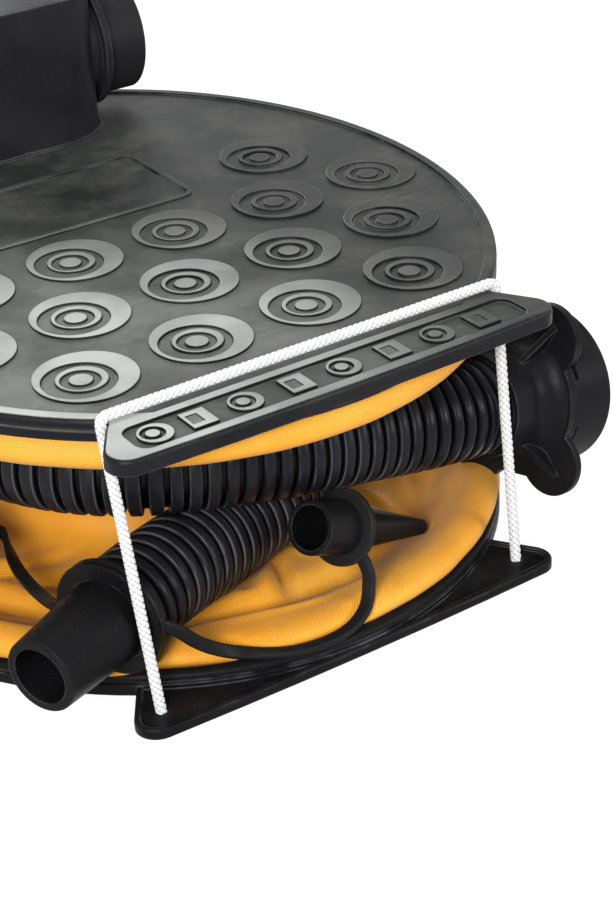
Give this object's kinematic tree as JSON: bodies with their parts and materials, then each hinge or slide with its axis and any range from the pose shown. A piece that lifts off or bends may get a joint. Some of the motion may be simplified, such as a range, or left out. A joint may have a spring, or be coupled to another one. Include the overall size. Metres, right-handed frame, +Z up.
{
  "type": "bellows foot pump",
  "caption": "Bellows foot pump folded for storage: oval base and tread plates tied with cord, corrugated hose round the waist, nozzle, bayonet connector, tethered adapters.",
  "frame": {"origin": "on the floor under the centre of the oval base, on the centre pad's lower face", "axes": "+X to the right along the front bar, +Y back towards the hinge, +Z up"},
  "size_m": [0.277, 0.3371, 0.1797],
  "materials": {
    "black_plastic": "fine grained black plastic",
    "pedal_plastic": "satin grey-black plastic, scuffed",
    "smooth_plastic": "smooth satin black plastic",
    "hose_plastic": "satin black corrugated plastic",
    "bellows_fabric": "orange-yellow coated woven fabric",
    "black_rubber": "matt black rubber",
    "steel": "zinc-plated steel",
    "cord_fabric": "white braided cord"
  },
  "bodies": {
    "base": {"base_plate": "black_plastic", "rubber_feet": "black_rubber", "base_bellows_ring": "black_plastic", "lower_bellows": "bellows_fabric", "base_spring_seat": "black_plastic", "return_spring": "steel", "hinge_pin": "steel", "hinge_clips": "steel", "hose": "hose_plastic", "nozzle": "black_plastic", "tether_straps": "black_rubber", "closure_cord": "cord_fabric", "cord_stops": "steel"},
    "pedal": {"pedal_plate": "pedal_plastic", "upper_bellows": "bellows_fabric", "pedal_bellows_ring": "black_plastic", "pedal_spring_seat": "black_plastic", "valve_housing": "black_plastic", "valve_cover": "black_plastic", "cover_screws": "steel", "housing_screws": "steel", "inflate_port": "black_plastic", "deflate_port": "black_plastic", "inflate_cage": "black_plastic", "deflate_cage": "black_plastic"},
    "waist": {"waist_hoop": "steel"},
    "connector": {"hose_connector": "black_plastic", "connector_seal": "black_rubber"},
    "right_adapter_body": {"right_adapter": "smooth_plastic"},
    "left_adapter_body": {"left_adapter": "smooth_plastic"},
    "inflate_flap_body": {"inflate_flap": "black_rubber"},
    "deflate_flap_body": {"deflate_flap": "black_rubber"}
  },
  "joints": [
    {"name": "pedal_hinge", "type": "hinge", "parent": "base", "child": "pedal", "pos_m": [0, 0.166, 0.062], "axis": [-1, 0, 0], "range_deg": [0, 30], "deforming": ["lower_bellows", "upper_bellows", "return_spring", "closure_cord"]},
    {"name": "waist_swing", "type": "hinge", "parent": "base", "child": "waist", "pos_m": [0, 0.166, 0.062], "axis": [-1, 0, 0], "range_deg": [0, 15], "deforming": ["lower_bellows", "upper_bellows", "return_spring"]},
    {"name": "connector_swivel", "type": "hinge", "parent": "base", "child": "connector", "pos_m": [0.1027, -0.1162, 0.0517], "axis": [0.9752, 0.172, -0.1392], "range_deg": [-180, 180]},
    {"name": "right_adapter_turn", "type": "hinge", "parent": "base", "child": "right_adapter_body", "pos_m": [-0.0078, -0.1402, 0.045], "axis": [0.8614, 0.2581, -0.4375], "range_deg": [-180, 180]},
    {"name": "left_adapter_turn", "type": "hinge", "parent": "base", "child": "left_adapter_body", "pos_m": [-0.095, -0.042, 0.024], "axis": [0.1704, 0.9796, -0.1065], "range_deg": [-180, 180]},
    {"name": "inflate_flap_lift", "type": "slide", "parent": "pedal", "child": "inflate_flap_body", "axis": [1, 0, 0], "range_m": [0, 0.003]},
    {"name": "deflate_flap_lift", "type": "slide", "parent": "pedal", "child": "deflate_flap_body", "axis": [1, 0, 0], "range_m": [0, 0.003]}
  ],
  "couplings": [
    {"joint": "waist_swing", "follows": "pedal_hinge", "ratio": 0.5}
  ]
}
